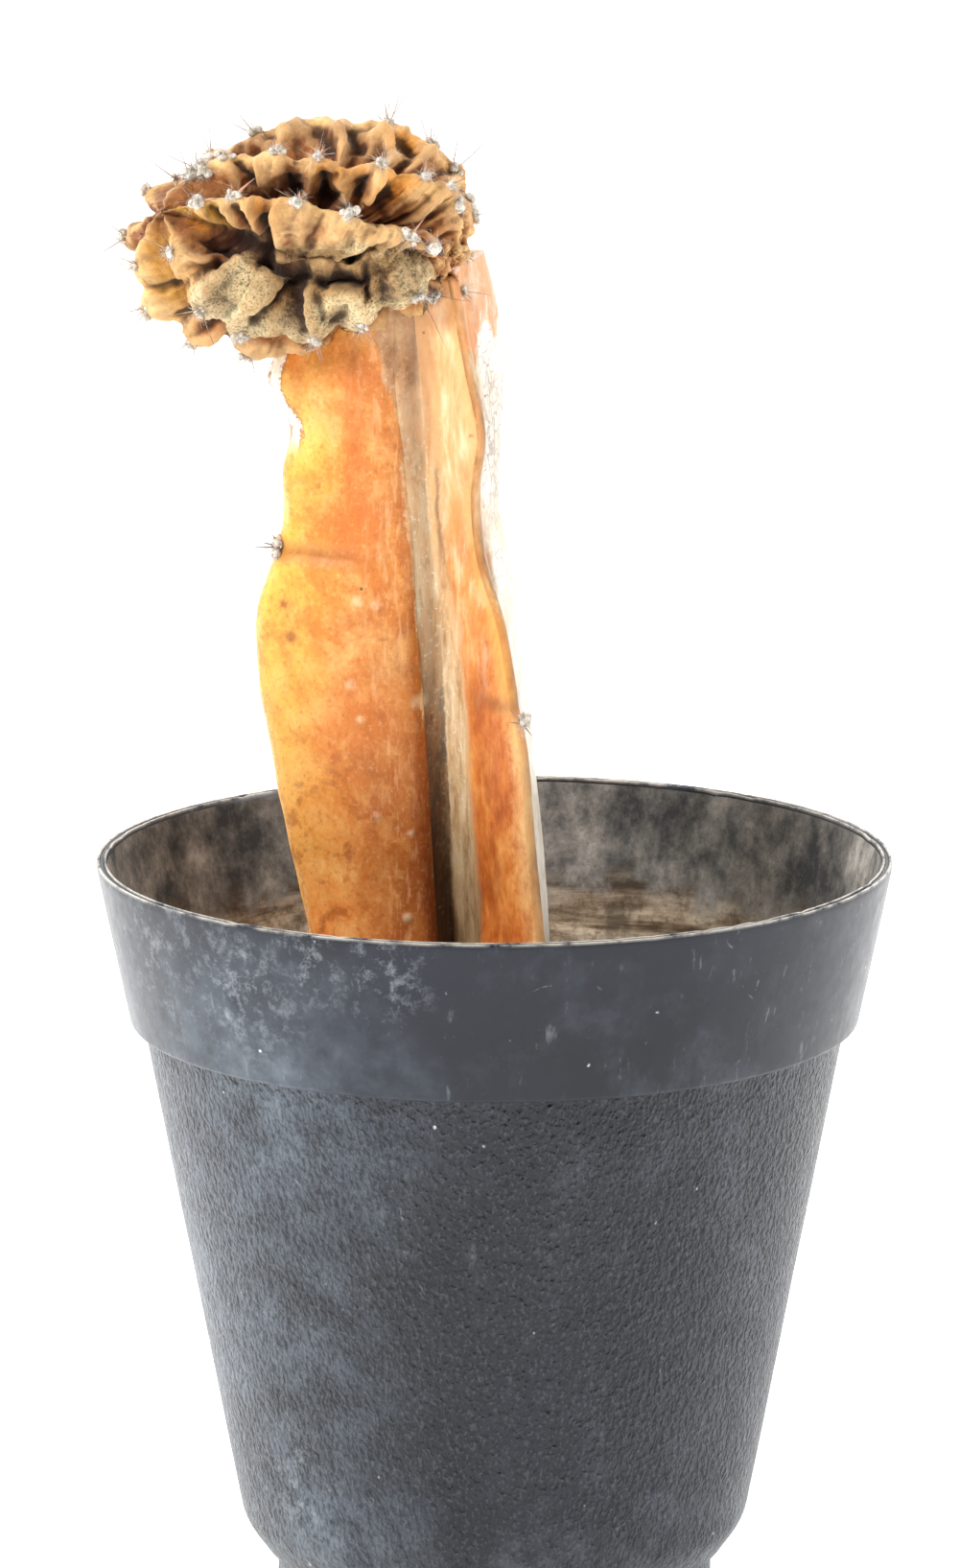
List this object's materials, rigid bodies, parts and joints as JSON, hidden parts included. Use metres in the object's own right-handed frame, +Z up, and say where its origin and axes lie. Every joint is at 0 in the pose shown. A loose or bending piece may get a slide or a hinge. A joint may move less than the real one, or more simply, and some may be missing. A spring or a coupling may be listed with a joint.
{
  "type": "dead grafted cactus in a nursery pot",
  "caption": "Dead, shrivelled grafted cactus: a ribbed spiny head slumped on a dried three-winged stem, standing in dry soil in a tapered plastic nursery pot.",
  "frame": {"origin": "middle of the pot's foot, on the surface that the pot stands on", "axes": "+Z up; -Y is the front, which the pictured side faces; +X is to the right seen from the front, and the head droops towards -X"},
  "size_m": [0.09, 0.09, 0.1714],
  "materials": {
    "pot": "weathered dark grey plastic, smooth rim band over a finely pebbled body, scuffed, with mineral stains and soil marks",
    "soil": "dry, crumbly peat with a few pale grains",
    "rootstock": "dried orange translucent stem skin with brown and cream woody strips",
    "scion": "leathery, wrinkled tan and brown skin with pale wool tufts and thin spines"
  },
  "bodies": {
    "root": {"pot": "pot", "soil": "soil", "rootstock": "rootstock", "scion": "scion"}
  },
  "joints": []
}
